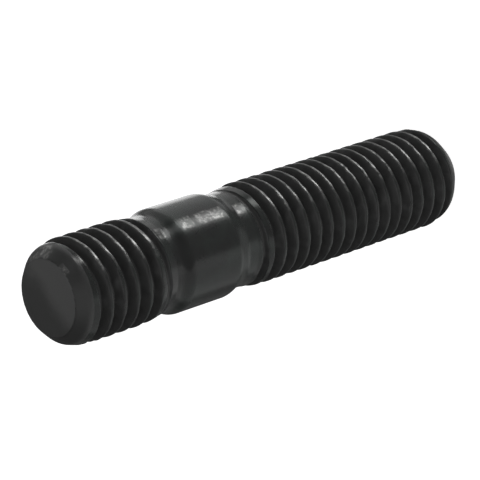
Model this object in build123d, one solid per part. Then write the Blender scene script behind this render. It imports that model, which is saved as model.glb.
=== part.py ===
from build123d import *

import os
from dataclasses import dataclass
from math import ceil, cos, radians, sin, tan

# Double ended stud, M8 x 1.25: a short tap end, a plain shank and a long nut end.
# Millimetres, +Z along the stud. The origin is the centre of the nut end's face, so the stud
# stands on its nut end with the tap end up. Both threads are right-handed. They are rolled on
# a blank thinner than the shank, which shows as a bare neck on each side of the shank.

# Thread
nominal_diameter = 8.0
thread_pitch = 1.25
thread_angle = 60.0
crest_allowance = 0.10  # how much smaller than nominal the crests are, on diameter
blank_allowance = 0.09  # how much larger than the pitch diameter the blank is

# Lengths, measured from the tap end's face
overall_length = 40.0
tap_end_length = 10.65
shank_length = 4.4

# Shank, its shoulders, and the bare necks beside it
shank_diameter = 8.0
tap_shoulder_length = 1.05
nut_shoulder_length = 1.45
tap_neck_length = 0.45
nut_neck_length = 0.8

# How far the crests take to grow from the neck to full height
tap_runout_length = 1.7
nut_runout_length = 1.7

# Chamfered points: diameter of the end's face, and the length from it to the blank
tap_point_diameter = 5.8
tap_point_length = 0.8
nut_point_diameter = 5.2
nut_point_length = 1.2

# Length over which the first, incomplete crest grows behind each point
tap_lead_length = 1.1
nut_lead_length = 0.9

# Where each groove fades out beside its neck: height above the neck's thread side, angle about Z,
# and turns taken
tap_groove_gap = 0.56
tap_groove_angle = 139.0
tap_groove_fade = 0.8
nut_groove_gap = 0.18
nut_groove_angle = 110.0
nut_groove_fade = 1.2

# Where each groove fades out on its point: length left plain from the end's face, and turns taken
tap_point_plain = 1.2
tap_point_fade = 0.45
nut_point_plain = 1.3
nut_point_fade = 0.5

# Form of a 60 degree metric thread, as shares of the pitch
thread_depth = 0.6134 * thread_pitch
root_flat = thread_pitch / 6
pitch_diameter = nominal_diameter - 0.6495 * thread_pitch
tool_clearance = 0.06 * thread_pitch  # how far the cutting form stands outside the crests

# Sizes that follow
blank_radius = (pitch_diameter + blank_allowance) / 2
root_radius = nominal_diameter / 2 - thread_depth
crest_radius = (nominal_diameter - crest_allowance) / 2
shank_top = overall_length - tap_end_length
shank_bottom = shank_top - shank_length
tap_neck_bottom = shank_top + tap_shoulder_length
tap_neck_top = tap_neck_bottom + tap_neck_length
nut_neck_top = shank_bottom - nut_shoulder_length
nut_neck_bottom = nut_neck_top - nut_neck_length
tap_point_bottom = overall_length - tap_point_length


@dataclass(frozen=True)
class Groove:
    """One thread's groove, followed from its end beside the neck to its end on the point."""

    height: float
    angle: float
    direction: int  # 1 runs up to the tap end's point, -1 runs down to the nut end's point
    turns: float
    neck_fade: float
    point_fade: float


tap_groove = Groove(
    height=tap_neck_top + tap_groove_gap,
    angle=tap_groove_angle,
    direction=1,
    turns=(overall_length - tap_point_plain - tap_neck_top - tap_groove_gap) / thread_pitch,
    neck_fade=tap_groove_fade,
    point_fade=tap_point_fade,
)
nut_groove = Groove(
    height=nut_neck_bottom + nut_groove_gap,
    angle=nut_groove_angle,
    direction=-1,
    turns=(nut_neck_bottom + nut_groove_gap - nut_point_plain) / thread_pitch,
    neck_fade=nut_groove_fade,
    point_fade=nut_point_fade,
)


def turned_blank():
    """The stud before threading, with crests at full diameter, as one revolved solid."""
    outline = Polyline(
        (0, 0),
        (nut_point_diameter / 2, 0),
        (blank_radius, nut_point_length),
        (crest_radius, nut_point_length + nut_lead_length),
        (crest_radius, nut_neck_bottom - nut_runout_length),
        (blank_radius, nut_neck_bottom),
        (blank_radius, nut_neck_top),
        (shank_diameter / 2, shank_bottom),
        (shank_diameter / 2, shank_top),
        (blank_radius, tap_neck_bottom),
        (blank_radius, tap_neck_top),
        (crest_radius, tap_neck_top + tap_runout_length),
        (crest_radius, tap_point_bottom - tap_lead_length),
        (blank_radius, tap_point_bottom),
        (tap_point_diameter / 2, overall_length),
        (0, overall_length),
        close=True,
    )
    return revolve(Plane.XZ * make_face(outline), Axis.Z)


def groove_corners(groove, turn):
    """The four corners of the groove's section, that many turns from its end beside the neck."""
    depth = crest_radius - root_radius + tool_clearance
    faded = max(0.0, 1 - turn / groove.neck_fade, 1 - (groove.turns - turn) / groove.point_fade)
    floor = root_radius + depth * faded**2
    rim = floor + depth
    half_floor = root_flat / 2
    half_rim = half_floor + depth * tan(radians(thread_angle / 2))
    angle = radians(groove.angle + groove.direction * 360 * turn)
    height = groove.height + groove.direction * thread_pitch * turn
    section = ((floor, -half_floor), (floor, half_floor), (rim, half_rim), (rim, -half_rim))
    return [Vector(r * cos(angle), r * sin(angle), height + rise) for r, rise in section]


def groove_edge(groove, corner, start, stretch):
    """One corner's path over a short stretch of the helix, as an arc."""
    turns = (start, start + stretch / 2, start + stretch)
    return Edge.make_three_point_arc(*(groove_corners(groove, turn)[corner] for turn in turns))


def groove_solid(groove, stretches_per_turn=8):
    """The groove as a solid to be cut away: ruled faces along the helix, and two flat ends."""
    count = ceil(groove.turns * stretches_per_turn)
    stretch = groove.turns / count
    faces = []
    for i in range(count):
        edges = [groove_edge(groove, corner, i * stretch, stretch) for corner in range(4)]
        for edge, next_edge in zip(edges, edges[1:] + edges[:1]):
            faces.append(Face.make_surface_from_curves(edge, next_edge))
    for turn in (0, groove.turns):
        faces.append(Face(Wire.make_polygon(groove_corners(groove, turn), close=True)))
    return Solid(Shell(faces))


def double_ended_stud():
    """The finished stud: the turned blank with both threads' grooves taken out."""
    stud = turned_blank()
    for groove in (tap_groove, nut_groove):
        stud = stud - groove_solid(groove)
    return stud


os.makedirs("parts", exist_ok=True)
export_step(double_ended_stud(), "parts/double_ended_stud.step")
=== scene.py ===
"""Double ended stud, M8 x 1.25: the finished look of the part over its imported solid.

The stud is one piece of steel that stands on its nut end, with +Z from the nut end to the tap
end. Geometry Nodes lay its mesh on the turned outline and the two right-hand threads by rule.
Its finish is an oiled black oxide. Lengths are in metres and angles in radians throughout.
"""

import logging
import math
from dataclasses import dataclass
from enum import Enum
from typing import TypeAlias

import bpy
from mathutils import Matrix, Vector

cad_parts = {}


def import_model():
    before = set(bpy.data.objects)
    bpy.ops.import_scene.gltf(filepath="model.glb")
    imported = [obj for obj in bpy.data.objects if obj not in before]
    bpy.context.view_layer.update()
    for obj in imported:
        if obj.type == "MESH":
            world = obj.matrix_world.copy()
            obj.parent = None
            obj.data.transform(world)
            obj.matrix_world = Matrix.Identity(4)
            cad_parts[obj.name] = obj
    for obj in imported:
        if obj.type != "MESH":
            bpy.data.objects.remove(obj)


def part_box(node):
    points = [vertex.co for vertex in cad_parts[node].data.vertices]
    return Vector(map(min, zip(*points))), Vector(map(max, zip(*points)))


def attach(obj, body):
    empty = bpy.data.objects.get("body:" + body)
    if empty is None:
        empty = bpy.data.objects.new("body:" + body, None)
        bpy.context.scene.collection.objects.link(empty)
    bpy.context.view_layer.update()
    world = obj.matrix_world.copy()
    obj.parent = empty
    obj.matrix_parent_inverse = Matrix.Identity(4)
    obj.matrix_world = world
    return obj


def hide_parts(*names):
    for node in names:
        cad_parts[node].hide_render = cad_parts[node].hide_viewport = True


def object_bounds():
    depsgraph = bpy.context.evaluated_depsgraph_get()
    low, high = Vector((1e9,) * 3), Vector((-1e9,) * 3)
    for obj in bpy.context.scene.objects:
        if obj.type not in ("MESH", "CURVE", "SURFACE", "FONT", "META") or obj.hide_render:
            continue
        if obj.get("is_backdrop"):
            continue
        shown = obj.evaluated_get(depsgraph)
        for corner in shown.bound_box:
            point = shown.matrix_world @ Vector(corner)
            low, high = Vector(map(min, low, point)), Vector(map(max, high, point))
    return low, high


LOG = logging.getLogger("stud")
MM = 0.001
BODY = "root"
NODE = "double_ended_stud"
HAIR = 1e-7  # taken off the length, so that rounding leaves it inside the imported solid's box

# The metric thread's form. Depths are below the nominal radius, as shares of the pitch.
GROOVE_DEPTH = 0.6134  # to the groove's floor
PITCH_LINE_DEPTH = 0.32475  # to the pitch diameter
HALF_ANGLE = math.radians(30)  # between a flank and the plane across the axis

# Colour sockets of the Mix node, which has a set of sockets for each type of data
MIX_SHARE, MIX_FROM, MIX_TO, MIX_RESULT = 0, 6, 7, 2

Colour: TypeAlias = tuple[float, float, float, float]
Span: TypeAlias = tuple[float, float]
Number: TypeAlias = "float | Sock"

WHITE: Colour = (1.0, 1.0, 1.0, 1.0)
BLACK: Colour = (0.0, 0.0, 0.0, 1.0)


class Slot(Enum):
    """Material slots of the record."""

    BLACK_OXIDE = "black_oxide_steel"


class Mask(Enum):
    """Surface attributes that the stud's mesh carries for its finish."""

    CREST = "crest"
    TURNED = "turned"
    END = "end"


# --------------------------------------------------------------------------------------------
# Node trees as expressions
# --------------------------------------------------------------------------------------------


@dataclass(frozen=True)
class Sock:
    """A node's output socket that takes part in Python arithmetic."""

    graph: "Graph"
    socket: bpy.types.NodeSocket

    def __add__(self, other: Number) -> "Sock":
        """Sum with a value or socket."""
        return self.graph.math("ADD", self, other)

    def __radd__(self, other: Number) -> "Sock":
        """Sum with a value on the left."""
        return self.graph.math("ADD", other, self)

    def __sub__(self, other: Number) -> "Sock":
        """Difference with a value or socket."""
        return self.graph.math("SUBTRACT", self, other)

    def __rsub__(self, other: Number) -> "Sock":
        """Difference with a value on the left."""
        return self.graph.math("SUBTRACT", other, self)

    def __mul__(self, other: Number) -> "Sock":
        """Product with a value or socket."""
        return self.graph.math("MULTIPLY", self, other)

    def __rmul__(self, other: Number) -> "Sock":
        """Product with a value on the left."""
        return self.graph.math("MULTIPLY", other, self)

    def __truediv__(self, other: Number) -> "Sock":
        """Quotient with a value or socket."""
        return self.graph.math("DIVIDE", self, other)


class Graph:
    """Adds nodes to one tree, from their type, settings and sockets."""

    def __init__(self, tree: bpy.types.NodeTree) -> None:
        """Start from an empty tree.

        Args:
            tree: The node tree to fill.
        """
        self.tree = tree
        tree.nodes.clear()

    def node(
        self, kind: str, settings: dict | None = None, inputs: dict | None = None
    ) -> bpy.types.Node:
        """Add a node.

        Args:
            kind: The node's type name.
            settings: Properties of the node, set before its sockets.
            inputs: Values or sockets by input name or index.

        Returns:
            The new node.
        """
        made = self.tree.nodes.new(kind)
        for name, value in (settings or {}).items():
            setattr(made, name, value)
        for key, value in (inputs or {}).items():
            if isinstance(value, Sock):
                self.tree.links.new(value.socket, made.inputs[key])
            else:
                made.inputs[key].default_value = value
        return made

    def out(
        self,
        kind: str,
        settings: dict | None = None,
        inputs: dict | None = None,
        output: int | str = 0,
    ) -> Sock:
        """Add a node and take one of its outputs.

        Args:
            kind: The node's type name.
            settings: Properties of the node.
            inputs: Values or sockets by input name or index.
            output: Name or index of the output.

        Returns:
            The output as an expression.
        """
        return Sock(self, self.node(kind, settings, inputs).outputs[output])

    def math(self, operation: str, *values: Number, clamp: bool = False) -> Sock:
        """Add a Math node over its values."""
        settings = {"operation": operation, "use_clamp": clamp}
        return self.out("ShaderNodeMath", settings, dict(enumerate(values)))

    def vector(self, x: Number, y: Number, z: Number) -> Sock:
        """Join three values into a vector."""
        return self.out("ShaderNodeCombineXYZ", None, {0: x, 1: y, 2: z})

    def split(self, vector: Sock) -> list[Sock]:
        """Split a vector into its three values."""
        made = self.node("ShaderNodeSeparateXYZ", None, {0: vector})
        return [Sock(self, output) for output in made.outputs]

    def ramp(self, value: Sock, low: Number, high: Number) -> Sock:
        """Smooth step from 0 at low to 1 at high."""
        inputs = {"Value": value, "From Min": low, "From Max": high, "To Min": 0.0, "To Max": 1.0}
        return self.out("ShaderNodeMapRange", {"interpolation_type": "SMOOTHSTEP"}, inputs)

    def mix(self, share: Sock, start: Colour | Sock, end: Colour | Sock) -> Sock:
        """Mix two colours, from the first at 0 to the second at 1."""
        inputs = {MIX_SHARE: share, MIX_FROM: start, MIX_TO: end}
        return self.out("ShaderNodeMix", {"data_type": "RGBA"}, inputs, MIX_RESULT)


# --------------------------------------------------------------------------------------------
# The stud
# --------------------------------------------------------------------------------------------


@dataclass(frozen=True)
class Thread:
    """One threaded stretch, from the neck beside it to the face of its point."""

    neck: float  # height of the neck's near end
    face: float  # height of the end face
    runout: float  # length over which the crests grow from the neck
    lead: float  # length over which the first crest grows behind the point
    point: float  # length of the chamfered point
    point_radius: float
    start: float  # from the neck to the groove's first end, counted toward the face
    angle: float  # of the groove's first end, about +Z
    neck_fade: float  # turns over which the groove fades out beside the neck
    plain: float  # from the groove's last end to the face
    point_fade: float  # turns over which the groove fades out on the point

    def inputs(self, pitch: float) -> dict[str, float]:
        """Work out the thread group's inputs.

        Args:
            pitch: Height of one turn.

        Returns:
            Values by input name.
        """
        way = 1.0 if self.face > self.neck else -1.0
        reach = abs(self.face - self.neck)
        return {
            "Low": min(self.neck, self.face),
            "High": max(self.neck, self.face),
            "Neck": self.neck,
            "Face": self.face,
            "Way": way,
            "Runout": self.runout,
            "Lead": self.lead,
            "Point": self.point,
            "Point Radius": self.point_radius,
            "Groove Height": self.neck + way * self.start,
            "Groove Angle": self.angle,
            "Turns": (reach - self.start - self.plain) / pitch,
            "Neck Fade": self.neck_fade,
            "Point Fade": self.point_fade,
        }


@dataclass(frozen=True)
class Stud:
    """The whole stud: both threads, and the necks, shoulders and shank between them."""

    length: float
    radius: float
    pitch: float = 1.25 * MM
    tap_end: float = 10.65 * MM
    shank: float = 4.4 * MM
    tap_shoulder: float = 1.05 * MM
    nut_shoulder: float = 1.45 * MM
    tap_neck: float = 0.45 * MM
    nut_neck: float = 0.8 * MM
    crest_drop: float = 0.05 * MM  # of the crests below the shank
    blank_rise: float = 0.045 * MM  # of the bare blank above the pitch line
    groove_clearance: float = 0.06  # how far the groove's form stands past the crests, in pitches

    # Rounding
    corner_round: float = 0.16 * MM
    crest_round: float = 0.12 * MM
    root_round: float = 0.10 * MM
    edge_round: float = 0.05 * MM
    edge_slope: float = 6.0  # radius gained at the end face's edge for each length along the axis

    # Marks of rolling
    waver_size: float = 0.9 * MM
    wall_waver: float = 0.28 * MM
    crest_dent: float = 0.06 * MM
    dent_band: Span = (0.06, 0.22)  # waver at which dents start and are full

    # Mesh
    point_blend: float = 0.3 * MM  # length behind a point over which the turned mask sets in
    columns: int = 112
    rows_per_pitch: int = 26
    shank_rows: int = 84
    spare_turns: int = 2  # turns of rows past each end of a thread, folded onto its ring
    weld: float = 0.003 * MM

    @property
    def crest_radius(self) -> float:
        """Radius over the crests."""
        return self.radius - self.crest_drop

    @property
    def root_radius(self) -> float:
        """Radius of the groove's floor."""
        return self.radius - GROOVE_DEPTH * self.pitch

    @property
    def blank_radius(self) -> float:
        """Radius of the bare blank, as the necks show it."""
        return self.radius - PITCH_LINE_DEPTH * self.pitch + self.blank_rise

    @property
    def half_floor(self) -> float:
        """Half the width of the groove's floor, which is a sixth of the pitch."""
        return self.pitch / 12

    @property
    def shank_span(self) -> Span:
        """Heights between which the shank has its full radius."""
        top = self.length - self.tap_end
        return top - self.shank, top

    @property
    def tap_thread(self) -> Thread:
        """The short thread at the top."""
        return Thread(
            neck=self.shank_span[1] + self.tap_shoulder + self.tap_neck,
            face=self.length,
            runout=1.7 * MM,
            lead=1.1 * MM,
            point=0.8 * MM,
            point_radius=2.9 * MM,
            start=0.56 * MM,
            angle=math.radians(139.0),
            neck_fade=0.8,
            plain=1.2 * MM,
            point_fade=0.45,
        )

    @property
    def nut_thread(self) -> Thread:
        """The long thread that the stud stands on."""
        return Thread(
            neck=self.shank_span[0] - self.nut_shoulder - self.nut_neck,
            face=0.0,
            runout=1.7 * MM,
            lead=0.9 * MM,
            point=1.2 * MM,
            point_radius=2.6 * MM,
            start=-0.18 * MM,
            angle=math.radians(110.0),
            neck_fade=1.2,
            plain=1.3 * MM,
            point_fade=0.5,
        )

    def build(self) -> bpy.types.Object:
        """Make the stud's mesh from its Geometry Nodes tree.

        Returns:
            The stud as a plain mesh object at the origin.
        """
        tree = self._tree()
        shell = bpy.data.objects.new("stud_shell", bpy.data.meshes.new("stud_shell"))
        bpy.context.scene.collection.objects.link(shell)
        modifier = shell.modifiers.new("stud", "NODES")
        modifier.node_group = tree
        sizes = {
            "Pitch": self.pitch,
            "Columns": self.columns,
            "Rows Per Pitch": self.rows_per_pitch,
        }
        for item in tree.interface.items_tree:
            if item.in_out == "INPUT" and item.name in sizes:
                modifier[item.identifier] = sizes[item.name]
        bpy.context.view_layer.update()
        evaluated = shell.evaluated_get(bpy.context.evaluated_depsgraph_get())
        mesh = bpy.data.meshes.new_from_object(evaluated)
        bpy.data.objects.remove(shell)
        stud = bpy.data.objects.new("stud", mesh)
        bpy.context.scene.collection.objects.link(stud)
        return stud

    def dress(self, stud: bpy.types.Object, finish: bpy.types.Material) -> None:
        """Give the stud its finish and its place in the frame.

        Args:
            stud: The stud's mesh object.
            finish: The material for its whole surface.
        """
        stud.data.materials.clear()
        stud.data.materials.append(finish)
        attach(stud, BODY)
        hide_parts(NODE)

    def _tree(self) -> bpy.types.NodeTree:
        """Join both threads, the shank and the two end faces into one closed skin.

        Returns:
            The Geometry Nodes tree.
        """
        graph, size = self._group("stud_skin", ("Pitch",), ("Columns", "Rows Per Pitch"))
        columns = size["Columns"]
        thread_group, shank_group = self._thread_group(), self._shank_group()
        parts = []
        for thread in (self.tap_thread, self.nut_thread):
            parts.append(self._curved(graph, thread_group, size | thread.inputs(self.pitch)))
            parts.append(self._face(graph, columns, thread))
        inputs = {"Low": self.nut_thread.neck, "High": self.tap_thread.neck, "Columns": columns}
        parts.append(self._curved(graph, shank_group, inputs))
        join = graph.node("GeometryNodeJoinGeometry")
        for part in parts:
            graph.tree.links.new(part.socket, join.inputs[0])
        skin = Sock(graph, join.outputs[0])
        inputs = {"Geometry": skin, "Distance": self.weld}
        skin = graph.out("GeometryNodeMergeByDistance", None, inputs)
        skin = graph.out("GeometryNodeRealizeInstances", None, {"Geometry": skin})
        skin = graph.out("GeometryNodeSetMaterial", None, {"Geometry": skin})
        graph.node("NodeGroupOutput", None, {0: skin})
        return graph.tree

    @staticmethod
    def _curved(graph: Graph, group: bpy.types.NodeTree, inputs: dict) -> Sock:
        """Add a node group's skin and shade it smooth."""
        skin = graph.out("GeometryNodeGroup", {"node_tree": group}, inputs)
        inputs = {"Geometry": skin, "Shade Smooth": True}
        return graph.out("GeometryNodeSetShadeSmooth", {"domain": "FACE"}, inputs)

    def _face(self, graph: Graph, columns: Sock, thread: Thread) -> Sock:
        """Make one flat end face, closed at its centre.

        Args:
            graph: The tree to add to.
            columns: Vertices round the face.
            thread: The thread whose point the face ends.

        Returns:
            The face's geometry.
        """
        inputs = {"Vertices": columns, "Radius": thread.point_radius - self.edge_round}
        disc = graph.out("GeometryNodeMeshCircle", {"fill_type": "TRIANGLE_FAN"}, inputs)
        inputs = {"Geometry": disc, "Translation": (0, 0, thread.face)}
        disc = graph.out("GeometryNodeTransform", None, inputs)
        inputs = {"Geometry": disc, "Shade Smooth": False}
        disc = graph.out("GeometryNodeSetShadeSmooth", {"domain": "FACE"}, inputs)
        disc = self._store(graph, disc, Mask.END, 1.0)
        if thread.face > thread.neck:
            return disc
        return graph.out("GeometryNodeFlipFaces", None, {"Mesh": disc})

    @staticmethod
    def _group(
        name: str, floats: tuple[str, ...], ints: tuple[str, ...]
    ) -> tuple[Graph, dict[str, Sock]]:
        """Start a geometry node group.

        Args:
            name: The group's name.
            floats: Names of its number inputs.
            ints: Names of its whole number inputs.

        Returns:
            The graph and its inputs by name.
        """
        tree = bpy.data.node_groups.new(name, "GeometryNodeTree")
        for label in floats:
            tree.interface.new_socket(label, in_out="INPUT", socket_type="NodeSocketFloat")
        for label in ints:
            tree.interface.new_socket(label, in_out="INPUT", socket_type="NodeSocketInt")
        tree.interface.new_socket("Geometry", in_out="OUTPUT", socket_type="NodeSocketGeometry")
        graph = Graph(tree)
        source = graph.node("NodeGroupInput")
        return graph, {label: Sock(graph, source.outputs[label]) for label in floats + ints}

    @staticmethod
    def _grid(graph: Graph, columns: Sock, rows: Number) -> tuple[Sock, Sock, Sock]:
        """Start a flat grid that will be wrapped round +Z.

        Args:
            graph: The group's tree.
            columns: Faces round the stud.
            rows: Faces along it.

        Returns:
            The grid, each point's angle about +Z, and its share of the way up.
        """
        inputs = {"Size X": 1.0, "Size Y": 1.0, "Vertices X": columns + 1, "Vertices Y": rows + 1}
        grid = graph.out("GeometryNodeMeshGrid", None, inputs)
        x, y, _ = graph.split(graph.out("GeometryNodeInputPosition"))
        return grid, (x + 0.5) * math.tau, y + 0.5

    @staticmethod
    def _store(graph: Graph, skin: Sock, mask: Mask, value: Number) -> Sock:
        """Store a mask on a skin's points."""
        settings = {"data_type": "FLOAT", "domain": "POINT"}
        inputs = {"Geometry": skin, "Name": mask.value, "Value": value}
        return graph.out("GeometryNodeStoreNamedAttribute", settings, inputs)

    def _wrap(
        self,
        graph: Graph,
        grid: Sock,
        angle: Sock,
        radius: Sock,
        height: Sock,
        masks: dict[Mask, Number],
    ) -> None:
        """Lay a flat grid on the turned form, store its masks and end the group.

        Args:
            graph: The group's tree.
            grid: The flat grid.
            angle: Angle about +Z of each point.
            radius: Distance from the axis of each point.
            height: Height of each point.
            masks: Values to store by mask.
        """
        for mask, value in masks.items():
            grid = self._store(graph, grid, mask, value)
        place = self._place(graph, angle, radius, height)
        skin = graph.out("GeometryNodeSetPosition", None, {"Geometry": grid, "Position": place})
        graph.node("NodeGroupOutput", None, {0: skin})

    @staticmethod
    def _place(graph: Graph, angle: Sock, radius: Number, height: Sock) -> Sock:
        """Turn an angle about +Z, a radius and a height into a place."""
        across = radius * graph.math("COSINE", angle)
        return graph.vector(across, radius * graph.math("SINE", angle), height)

    def _shank_group(self) -> bpy.types.NodeTree:
        """Make the node group of the shank, its shoulders and the bare necks.

        Returns:
            The group.
        """
        graph, size = self._group("shank", ("Low", "High"), ("Columns",))
        grid, angle, share = self._grid(graph, size["Columns"], self.shank_rows)
        height = size["Low"] + (size["High"] - size["Low"]) * share
        bottom, top = self.shank_span
        rise = graph.ramp(height, bottom - self.nut_shoulder, bottom)
        rise = rise * graph.ramp(height, top + self.tap_shoulder, top)
        radius = self.blank_radius + rise * (self.radius - self.blank_radius)
        self._wrap(graph, grid, angle, radius, height, {Mask.CREST: 0.0, Mask.TURNED: 1.0})
        return graph.tree

    def _thread_group(self) -> bpy.types.NodeTree:
        """Make the node group of a threaded stretch.

        Rows follow the helix, so that crest and root stay crisp, and are held between the
        neck and the end face, where they meet the rings beside them.

        Returns:
            The group.
        """
        floats = ("Low", "High", "Neck", "Face", "Way", "Runout", "Lead", "Point", "Point Radius")
        floats += ("Groove Height", "Groove Angle", "Turns", "Neck Fade", "Point Fade", "Pitch")
        graph, size = self._group("thread", floats, ("Columns", "Rows Per Pitch"))
        pitch, per_pitch, start = size["Pitch"], size["Rows Per Pitch"], size["Groove Height"]
        first = graph.math("FLOOR", (size["Low"] - start) / pitch) - self.spare_turns
        last = graph.math("CEIL", (size["High"] - start) / pitch) + self.spare_turns
        rows = (last - first) * per_pitch
        grid, angle, share = self._grid(graph, size["Columns"], rows)
        turn = (angle - size["Groove Angle"]) / math.tau
        height = start + pitch * (first + graph.math("ROUND", share * rows) / per_pitch + turn)
        height = graph.math("MINIMUM", graph.math("MAXIMUM", height, size["Low"]), size["High"])
        groove = (height - start) / pitch - turn
        nearest = graph.math("ROUND", groove)
        waver = self._waver(graph, angle, height)
        away = graph.math("ABSOLUTE", (groove - nearest) * pitch + waver * self.wall_waver)
        wall = self._groove(graph, size, away, (nearest + turn) * size["Way"])
        from_face = (size["Face"] - height) * size["Way"]
        outline = self._outline(graph, size, height, from_face)
        full = graph.ramp(outline, self.blank_radius, self.crest_radius)
        outline = outline - full * self.crest_dent * graph.ramp(waver, *self.dent_band)
        surface = graph.math("SMOOTH_MIN", outline, wall, self.crest_round)
        depth = self.crest_radius - self.root_radius
        turned = 1 - graph.math("DIVIDE", outline - surface, depth, clamp=True)
        behind_point = graph.ramp(from_face, size["Point"], size["Point"] + self.point_blend)
        masks = {
            Mask.CREST: 1 - graph.math("DIVIDE", self.crest_radius - surface, depth, clamp=True),
            Mask.TURNED: turned * behind_point,
            Mask.END: graph.math("LESS_THAN", from_face, self.weld),
        }
        self._wrap(graph, grid, angle, surface, height, masks)
        return graph.tree

    def _waver(self, graph: Graph, angle: Sock, height: Sock) -> Sock:
        """Work out how a rolled thread strays from its true form, evenly about 0.

        Args:
            graph: The group's tree.
            angle: Angle about +Z of each point.
            height: Height of each point.

        Returns:
            Smooth noise over the stud's surface.
        """
        place = self._place(graph, angle, self.radius, height)
        inputs = {"Vector": place, "Scale": 1 / self.waver_size, "Detail": 1.0}
        return graph.out("ShaderNodeTexNoise", {"noise_dimensions": "3D"}, inputs, "Fac") - 0.5

    def _outline(
        self, graph: Graph, size: dict[str, Sock], height: Sock, from_face: Sock
    ) -> Sock:
        """Work out the turned outline that the crests of a thread reach.

        Args:
            graph: The group's tree.
            size: The group's inputs.
            height: Height of each point.
            from_face: Distance of each point from the end face, along the axis.

        Returns:
            The outline's radius.
        """
        rise = self.crest_radius - self.blank_radius
        from_neck = (height - size["Neck"]) * size["Way"]
        runout = self.blank_radius + rise * from_neck / size["Runout"]
        lead = self.blank_radius + rise * (from_face - size["Point"]) / size["Lead"]
        point_rise = self.blank_radius - size["Point Radius"]
        point = size["Point Radius"] + point_rise * from_face / size["Point"]
        edge = size["Point Radius"] - self.edge_round + self.edge_slope * from_face
        outline = graph.math("SMOOTH_MIN", lead, point, self.corner_round)
        outline = graph.math("SMOOTH_MIN", outline, self.crest_radius, self.corner_round)
        outline = graph.math("SMOOTH_MIN", outline, runout, self.corner_round)
        return graph.math("MINIMUM", outline, edge)

    def _groove(self, graph: Graph, size: dict[str, Sock], away: Sock, turn: Sock) -> Sock:
        """Work out the groove's wall beside its centre line.

        Args:
            graph: The group's tree.
            size: The group's inputs.
            away: Height from the nearest turn's centre line.
            turn: Turns from the groove's end beside the neck.

        Returns:
            The wall's radius, beyond the stud where there is no groove.
        """
        depth = self.crest_radius - self.root_radius + self.groove_clearance * self.pitch
        rest = size["Turns"] - turn
        fades = graph.math("MAXIMUM", 1 - turn / size["Neck Fade"], 1 - rest / size["Point Fade"])
        faded = graph.math("MAXIMUM", fades, 0.0)
        floor = self.root_radius + depth * faded * faded
        wall = floor + (away - self.half_floor) / math.tan(HALF_ANGLE)
        radius = graph.math("SMOOTH_MAX", wall, floor, self.root_round)
        outside = graph.math("LESS_THAN", graph.math("MINIMUM", turn, rest), 0.0)
        return radius + outside * self.radius


# --------------------------------------------------------------------------------------------
# Finishes
# --------------------------------------------------------------------------------------------


@dataclass(frozen=True)
class Speckle:
    """Even noise of one cell size."""

    size: float
    detail: float
    roughness: float = 0.6

    def spread(self, graph: Graph, place: Sock) -> Sock:
        """Lay the noise over a place, from 0 to 1."""
        inputs = {
            "Vector": place,
            "Scale": 1 / self.size,
            "Detail": self.detail,
            "Roughness": self.roughness,
        }
        return graph.out("ShaderNodeTexNoise", {"noise_dimensions": "3D"}, inputs, "Fac")


@dataclass(frozen=True)
class HighlightPatch:
    """A patch of painted highlight, where a lamp's highlight falls, round a middle height and
    angle.
    """

    height: float
    half_length: float
    angle: float = math.radians(-59)
    half_angle: float = math.radians(9)
    length_core: float = 0.7  # share of the half length that is fully painted
    angle_core: float = 0.6  # share of the half angle that is fully painted

    def cover(self, graph: Graph, angle: Sock, height: Sock) -> Sock:
        """Work out how far the patch covers each point.

        Args:
            graph: The material's tree.
            angle: Angle about +Z of each point.
            height: Height of each point.

        Returns:
            1 inside the patch, 0 away from it.
        """
        across = graph.math("ABSOLUTE", angle - self.angle)
        along = graph.math("ABSOLUTE", height - self.height)
        cover = graph.ramp(across, self.half_angle, self.half_angle * self.angle_core)
        return cover * graph.ramp(along, self.half_length, self.half_length * self.length_core)


@dataclass(frozen=True)
class Surface:
    """What the finish goes by at each point of the stud. All but the place run from 0 to 1."""

    place: Sock
    height: Sock  # of the thread's relief
    crest: Sock
    turned: Sock
    end: Sock
    grain: Sock
    scuff: Sock
    cloud: Sock
    crest_highlight: Sock  # painted highlight on the crests of the lit side
    lit_patches: Sock  # patches of painted highlight


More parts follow.
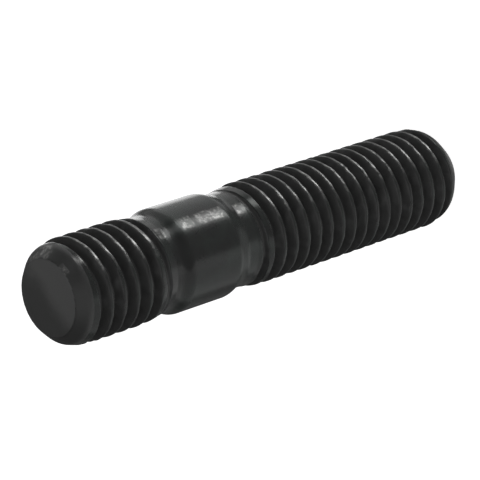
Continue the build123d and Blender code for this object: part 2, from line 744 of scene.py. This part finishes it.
@dataclass(frozen=True)
class BlackOxide:
    """Oiled black oxide on turned and rolled steel."""

    # Colours, from the clean finish to the painted highlight
    charcoal: Colour = (0.026, 0.0265, 0.0262, 1.0)
    greenish: Colour = (0.030, 0.034, 0.032, 1.0)
    # groove: lighter than the charcoal on flanks, roots and points, painted fill light that lifts
    # the shade in the grooves
    groove: Colour = (0.046, 0.0465, 0.046, 1.0)
    # painted_flank_light: the upper flanks painted lighter toward the crests, with painted shade
    # toward the roots
    painted_flank_light: Colour = (0.058, 0.0585, 0.058, 1.0)
    # face: the painted light on one side of each end face
    face: Colour = (0.108, 0.109, 0.108, 1.0)
    # crest_highlight: a painted highlight on the crests of the lit side
    crest_highlight: Colour = (0.17, 0.17, 0.168, 1.0)
    # painted_highlight: the palest colour, for the painted highlight patches and glints
    painted_highlight: Colour = (0.34, 0.34, 0.33, 1.0)
    metallic: float = 0.5

    grain: Speckle = Speckle(0.12 * MM, detail=4.0)
    scuff: Speckle = Speckle(0.40 * MM, detail=5.0)
    cloud: Speckle = Speckle(2.5 * MM, detail=3.0)

    # Where a mask or noise starts and ends its step from 0 to 1
    crest_band: Span = (0.88, 1.0)
    turned_band: Span = (0.84, 1.0)
    cloud_band: Span = (0.35, 0.65)
    painted_flank_light_band: Span = (0.3, 0.9)
    crest_highlight_band: Span = (0.25, 0.55)
    patch_band: Span = (0.44, 0.70)
    glint_band: Span = (0.52, 0.62)

    # One side of each end face is painted lighter, as painted light: which way that side lies, and
    # the width of its soft edge
    lit_side_way: Span = (0.5, -0.8)
    lit_side_edge: float = 1.1 * MM

    # Crests are painted lighter on the side where the key lamp's highlight falls, as a painted
    # highlight
    highlight_angle: float = math.radians(-56)
    highlight_spread: float = math.radians(33)
    highlight_core: float = 0.3  # share of the spread that is fully painted
    # Painted glints on the crests of the lit side
    glint_strength: float = 0.6

    # Patches of painted highlight with a scuffed grain, where the lamps' highlights fall on the
    # shank, necks and point
    patch_floor: float = 0.10
    patch_strength: float = 0.6
    highlight_patches: tuple[HighlightPatch, ...] = (
        HighlightPatch(28.65 * MM, 0.7 * MM),
        HighlightPatch(26.3 * MM, 1.5 * MM),
        HighlightPatch(23.1 * MM, 0.5 * MM),
        HighlightPatch(31.0 * MM, 0.4 * MM),
        HighlightPatch(38.85 * MM, 0.32 * MM, half_angle=math.radians(8)),
        HighlightPatch(39.85 * MM, 0.18 * MM, half_angle=math.radians(10)),
        HighlightPatch(39.65 * MM, 0.60 * MM, angle=math.radians(-2), half_angle=math.radians(27)),
    )

    flank_roughness: float = 0.45
    turned_roughness: float = 0.23
    crest_haze: float = 0.14
    grain_haze: float = 0.14
    cloud_haze: float = 0.12

    # Shares of each noise in the fine relief
    grain_relief: float = 0.7
    turned_smoothing: float = 0.45  # taken off the grain on the turned surfaces
    scuff_relief: float = 0.3
    patch_relief: float = 1.3
    crest_relief: float = 1.5
    bump_strength: float = 0.35
    bump_height: float = 0.008 * MM

    def make(self) -> bpy.types.Material:
        """Build the finish's node tree.

        Returns:
            The material.
        """
        material = bpy.data.materials.new("black_oxide")
        material.use_nodes = True
        graph = Graph(material.node_tree)
        surface = self._read(graph)
        inputs = {
            "Strength": self.bump_strength,
            "Distance": self.bump_height,
            "Height": self._relief(surface),
        }
        bump = graph.out("ShaderNodeBump", None, inputs)
        inputs = {
            "Base Color": self._tone(graph, surface),
            "Metallic": self.metallic,
            "Roughness": self._roughness(surface),
            "Normal": bump,
        }
        shader = graph.out("ShaderNodeBsdfPrincipled", None, inputs)
        graph.node("ShaderNodeOutputMaterial", None, {"Surface": shader})
        return material

    def _read(self, graph: Graph) -> Surface:
        """Read the masks and lay the noises, the painted crest highlight and the painted highlight
        patches.

        Args:
            graph: The material's tree.

        Returns:
            What the colour, roughness and relief go by.
        """
        place = graph.out("ShaderNodeTexCoord", None, None, "Object")
        x, y, z = graph.split(place)
        angle = graph.math("ARCTAN2", y, x)
        height = self._mask(graph, Mask.CREST)
        end = self._mask(graph, Mask.END)
        crest = graph.ramp(height, *self.crest_band)
        away = graph.math("ABSOLUTE", angle - self.highlight_angle)
        lit_patches = self.highlight_patches[0].cover(graph, angle, z)
        for lit_patch in self.highlight_patches[1:]:
            lit_patches = graph.math("MAXIMUM", lit_patches, lit_patch.cover(graph, angle, z))
        return Surface(
            place=place,
            height=height,
            crest=crest,
            turned=graph.ramp(self._mask(graph, Mask.TURNED), *self.turned_band),
            end=end,
            grain=self.grain.spread(graph, place),
            scuff=self.scuff.spread(graph, place),
            cloud=self.cloud.spread(graph, place),
            crest_highlight=crest * graph.ramp(away, self.highlight_spread, self.highlight_spread * self.highlight_core),
            lit_patches=lit_patches * (1 - end),
        )

    def _tone(self, graph: Graph, surface: Surface) -> Sock:
        """Work out the colour, from the clean finish to the painted highlights.

        Args:
            graph: The material's tree.
            surface: What the finish goes by.

        Returns:
            The base colour.
        """
        cloudy = graph.ramp(surface.cloud, *self.cloud_band)
        flank = 1 - surface.turned
        # Painted light on the upper flanks, fading to painted shade toward the roots
        painted_flank_light = graph.ramp(surface.height, *self.painted_flank_light_band) * flank
        crest_highlight = surface.crest_highlight * graph.ramp(surface.scuff, *self.crest_highlight_band)
        tone = graph.mix(cloudy, self.charcoal, self.greenish)
        # Flanks, roots and points take the groove tone, painted fill light in the grooves' shade
        tone = graph.mix(flank, tone, self.groove)
        tone = graph.mix(painted_flank_light, tone, self.painted_flank_light)
        # Painted light on one side of each end face
        tone = graph.mix(self._lit_side(graph, surface), tone, self.face)
        # Painted highlight on the crests of the lit side, broken up by the scuff noise
        tone = graph.mix(crest_highlight, tone, self.crest_highlight)
        # Painted highlight patches and painted glints
        return graph.mix(self._marks(graph, surface), tone, self.painted_highlight)

    def _lit_side(self, graph: Graph, surface: Surface) -> Sock:
        """Find the side of the end faces that is painted lighter, as painted light, behind an
        uneven edge.
        """
        x, y, _ = graph.split(surface.place)
        way_x, way_y = self.lit_side_way
        stray = (surface.cloud - 0.5) * 2 * self.lit_side_edge
        beyond = x * way_x + y * way_y + stray
        return surface.end * graph.ramp(beyond, -self.lit_side_edge, self.lit_side_edge)

    def _marks(self, graph: Graph, surface: Surface) -> Sock:
        """Find the painted highlight patches, and the painted glints on the lit side's crests."""
        lit_patch = self.patch_floor + self.patch_strength * graph.ramp(surface.scuff, *self.patch_band)
        # Painted glints on the lit crests
        glint = graph.ramp(surface.scuff, *self.glint_band) * self.glint_strength
        return surface.lit_patches * lit_patch + surface.crest_highlight * glint

    def _roughness(self, surface: Surface) -> Sock:
        """Work out the roughness: dull flanks, smoother turned surfaces, and hazier crests except
        on the lit side.
        """
        smoother = self.turned_roughness - self.flank_roughness
        haze = (surface.crest - surface.crest_highlight) * self.crest_haze
        uneven = (surface.grain - 0.5) * self.grain_haze + (surface.cloud - 0.5) * self.cloud_haze
        return self.flank_roughness + smoother * surface.turned + haze + uneven

    def _relief(self, surface: Surface) -> Sock:
        """Work out the fine relief, as a share of the bump's height."""
        grain = surface.grain * (self.grain_relief - surface.turned * self.turned_smoothing)
        raised = surface.lit_patches * self.patch_relief + surface.crest * self.crest_relief
        return grain + surface.scuff * (self.scuff_relief + raised)

    @staticmethod
    def _mask(graph: Graph, mask: Mask) -> Sock:
        """Read one of the stud's surface masks."""
        return graph.out("ShaderNodeAttribute", {"attribute_name": mask.value}, None, "Fac")


@dataclass(frozen=True)
class PaleFloor:
    """Matt white ground that glows, so that it stays white under any light."""

    glow: float = 0.92
    colour: Colour = (0.9, 0.9, 0.9, 1.0)

    def make(self) -> bpy.types.Material:
        """Build the ground's node tree.

        Returns:
            The material.
        """
        material = bpy.data.materials.new("pale_floor")
        material.use_nodes = True
        graph = Graph(material.node_tree)
        matt = graph.out("ShaderNodeBsdfDiffuse", None, {"Color": self.colour})
        glow = graph.out("ShaderNodeEmission", None, {"Color": WHITE, "Strength": self.glow})
        both = graph.out("ShaderNodeAddShader", None, {0: matt, 1: glow})
        graph.node("ShaderNodeOutputMaterial", None, {"Surface": both})
        return material


# --------------------------------------------------------------------------------------------
# Stage
# --------------------------------------------------------------------------------------------


@dataclass(frozen=True)
class Lamp:
    """A soft oval lamp that faces the stud's middle."""

    name: str
    toward: tuple[float, float, float]  # the way from the stud to the lamp
    distance: float
    size: Span
    radiance: float  # what a mirror would show of it, where 1 is white

    def place(self, target: Vector) -> bpy.types.Object:
        """Add the lamp.

        Args:
            target: The point that it faces.

        Returns:
            The lamp's object.
        """
        light = bpy.data.lights.new(self.name, "AREA")
        light.shape = "ELLIPSE"
        light.size, light.size_y = self.size
        area = math.pi / 4 * light.size * light.size_y
        light.energy = self.radiance * math.pi * area
        lamp = bpy.data.objects.new(self.name, light)
        bpy.context.scene.collection.objects.link(lamp)
        toward = Vector(self.toward).normalized()
        lamp.location = target + toward * self.distance
        lamp.rotation_euler = toward.to_track_quat("Z", "Y").to_euler()
        lamp.visible_camera = False
        return lamp


@dataclass(frozen=True)
class Stage:
    """Floor, backdrop, lamps and world round the stud.

    Floor and backdrop don't show in the black steel, which mirrors only the lamps and the dim
    world. They don't block light either, so lamps below the floor reach the stud.
    """

    room_size: float = 3.0
    ambient: float = 0.08
    lamps: tuple[Lamp, ...] = (
        Lamp("key", (0.69, -0.45, -0.53), 0.5, (0.17, 0.38), 4.2),
        Lamp("key_rise", (0.76, -0.62, -0.02), 0.5, (0.15, 0.30), 1.6),
        Lamp("key_top", (0.62, -0.35, 0.70), 0.5, (0.10, 0.10), 2.5),
        Lamp("sky", (0.75, 0.15, -0.60), 0.5, (0.40, 0.50), 0.65),
        Lamp("sky_rise", (0.95, 0.20, -0.10), 0.5, (0.60, 0.42), 0.6),
        Lamp("back", (0.38, 0.72, -0.58), 0.5, (0.25, 0.24), 1.7),
        Lamp("side", (0.80, 0.58, 0.15), 0.5, (0.16, 0.20), 1.0),
        Lamp("room", (-0.02, -0.90, -0.35), 0.5, (0.85, 1.15), 0.15),
        Lamp("table", (-0.84, -0.38, -0.30), 0.5, (0.80, 1.15), 0.52),
        Lamp("table_low", (-0.30, -0.10, -0.95), 0.5, (0.45, 0.45), 0.26),
        Lamp("table_far", (-0.60, 0.50, -0.55), 0.5, (0.35, 0.60), 0.05),
        Lamp("front", (-0.35, -0.60, 0.72), 0.6, (0.80, 0.40), 0.65),
        Lamp("top", (0.1, 0.1, 1.0), 0.6, (0.4, 0.4), 1.0),
        Lamp("rear", (0.05, 0.92, 0.38), 0.6, (0.4, 0.35), 0.6),
        Lamp("below", (0.12, 0.27, -0.95), 0.5, (0.15, 0.15), 1.8),
    )

    def build(self, low: Vector, high: Vector) -> None:
        """Set up everything round the stud.

        Args:
            low: The object's lowest corner.
            high: The object's highest corner.
        """
        half, base, top = self.room_size / 2, low.z, low.z + self.room_size
        square = ((-half, -half), (half, -half), (half, half), (-half, half))
        corners = [(x, y, z) for z in (base, top) for x, y in square]
        sides = [(0, 4, 5, 1), (1, 5, 6, 2), (2, 6, 7, 3), (3, 7, 4, 0)]
        ceiling = (4, 7, 6, 5)
        floor = self._flat("floor", corners[:4], [(0, 1, 2, 3)], PaleFloor().make())
        pure_white = PaleFloor(glow=1.0, colour=BLACK).make()
        backdrop = self._flat("backdrop", corners, sides + [ceiling], pure_white)
        backdrop.visible_diffuse = False
        for piece in (floor, backdrop):
            piece.visible_glossy = False
            piece.visible_shadow = False
            piece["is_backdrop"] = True
        centre = (low + high) / 2
        for lamp in self.lamps:
            lamp.place(centre)
        self._world()

    @staticmethod
    def _flat(
        name: str, corners: list[tuple], faces: list[tuple], finish: bpy.types.Material
    ) -> bpy.types.Object:
        """Add a plain mesh from its corners and faces."""
        mesh = bpy.data.meshes.new(name)
        mesh.from_pydata(corners, [], faces)
        mesh.materials.append(finish)
        flat = bpy.data.objects.new(name, mesh)
        bpy.context.scene.collection.objects.link(flat)
        return flat

    def _world(self) -> None:
        """Light everything a little, evenly from all round."""
        world = bpy.data.worlds.new("studio")
        bpy.context.scene.world = world
        world.use_nodes = True
        graph = Graph(world.node_tree)
        inputs = {"Color": WHITE, "Strength": self.ambient}
        grey = graph.out("ShaderNodeBackground", None, inputs)
        graph.node("ShaderNodeOutputWorld", None, {"Surface": grey})


@dataclass(frozen=True)
class Camera:
    """A long lens that looks down on the tap end, rolled so that the stud lies across the view."""

    side: float = -0.37 * MM  # of the aim, from the axis
    height_share: float = 0.5325  # of the aim, in the object's height
    distance: float = 215.7 * MM
    azimuth: float = math.radians(0.13)
    elevation: float = math.radians(41.09)
    roll: float = math.radians(-108.37)
    lens: float = 217.05  # in millimetres, like the sensor
    sensor: float = 36.0
    near: float = 0.01

    def place(self, low: Vector, high: Vector) -> None:
        """Add the camera and make it the scene's.

        Args:
            low: The object's lowest corner.
            high: The object's highest corner.
        """
        target = Vector((self.side, 0, low.z + (high.z - low.z) * self.height_share))
        level = math.cos(self.elevation)
        across, along = math.sin(self.azimuth) * level, -math.cos(self.azimuth) * level
        back = Vector((across, along, math.sin(self.elevation)))
        right = Vector((0, 0, 1)).cross(back).normalized()
        up = back.cross(right)
        turn = Matrix.Rotation(self.roll, 3, back)
        right, up = turn @ right, turn @ up
        data = bpy.data.cameras.new("camera")
        data.lens = self.lens
        data.sensor_width = self.sensor
        data.clip_start = self.near
        camera = bpy.data.objects.new("camera", data)
        bpy.context.scene.collection.objects.link(camera)
        pose = Matrix((right, up, back)).transposed().to_4x4()
        pose.translation = target + back * self.distance
        camera.matrix_world = pose
        bpy.context.scene.camera = camera


def main() -> None:
    """Build the stud, dress it, and set the stage."""
    logging.basicConfig(level=logging.INFO, format="%(message)s")
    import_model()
    cad_low, cad_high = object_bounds()
    low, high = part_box(NODE)
    radius = min(-low.x, high.x, -low.y, high.y)
    form = Stud(length=high.z - low.z - HAIR, radius=radius)
    stud = form.build()
    form.dress(stud, BlackOxide().make())
    LOG.info("stud: %d faces", len(stud.data.polygons))
    Stage().build(cad_low, cad_high)
    Camera().place(cad_low, cad_high)
    bpy.context.scene.view_settings.view_transform = "Standard"


if __name__ == "__main__":
    main()
